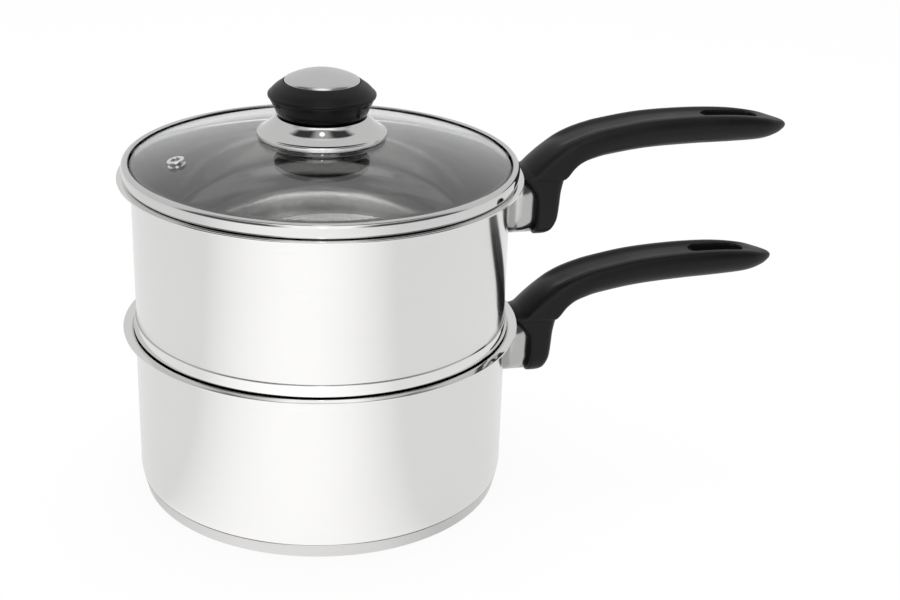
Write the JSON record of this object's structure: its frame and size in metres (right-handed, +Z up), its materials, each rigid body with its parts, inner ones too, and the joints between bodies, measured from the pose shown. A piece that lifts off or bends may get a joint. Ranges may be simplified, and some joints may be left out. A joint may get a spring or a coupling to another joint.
{
  "type": "steamer pot",
  "caption": "Two-tier steel steamer pot: long-handled pan with an encapsulated base, nesting steamer insert with a drilled floor, and a domed glass lid with a knob.",
  "frame": {"origin": "on the pot's vertical axis, in the plane of the base's underside, where it rests on the hob", "axes": "+Z up along the pot's axis; +X out along both handles; +Y to the left of someone standing at the handles' tips and facing the pot"},
  "size_m": [0.3377, 0.194, 0.2104],
  "materials": {
    "body_steel": "satin outside with fine lines round the pot, bright inside",
    "trim_steel": "mirror polished stainless steel",
    "core_aluminium": "as rolled",
    "handle_plastic": "black moulded phenolic with a satin surface",
    "lid_glass": "clear tempered, polished",
    "insert_brass": "machined",
    "gasket_silicone": "translucent grey, matt",
    "fixing_steel": "bright zinc plated"
  },
  "bodies": {
    "pan": {"base_cap": "body_steel", "base_core_disc": "core_aluminium", "pan_body": "body_steel", "pan_handle": "handle_plastic", "pan_ferrule": "trim_steel", "pan_handle_bracket": "fixing_steel", "pan_handle_screw": "fixing_steel", "pan_screw_washer": "fixing_steel"},
    "steamer": {"steamer_body": "body_steel", "steamer_handle": "handle_plastic", "steamer_ferrule": "trim_steel", "steamer_handle_bracket": "fixing_steel", "steamer_handle_screw": "fixing_steel", "steamer_screw_washer": "fixing_steel"},
    "lid": {"lid_glass": "lid_glass", "lid_rim": "trim_steel", "vent_eyelet": "trim_steel", "knob_skirt": "trim_steel", "knob_grip": "handle_plastic", "knob_cap": "body_steel", "knob_insert": "insert_brass", "knob_screw": "fixing_steel", "knob_washer": "fixing_steel", "knob_gasket_lower": "gasket_silicone", "knob_gasket_upper": "gasket_silicone"}
  },
  "joints": [
    {"name": "steamer_lift", "type": "slide", "parent": "pan", "child": "steamer", "axis": [0, 0, 1], "range_m": [0, 0.15]},
    {"name": "lid_lift", "type": "slide", "parent": "steamer", "child": "lid", "axis": [0, 0, 1], "range_m": [0, 0.12]}
  ]
}
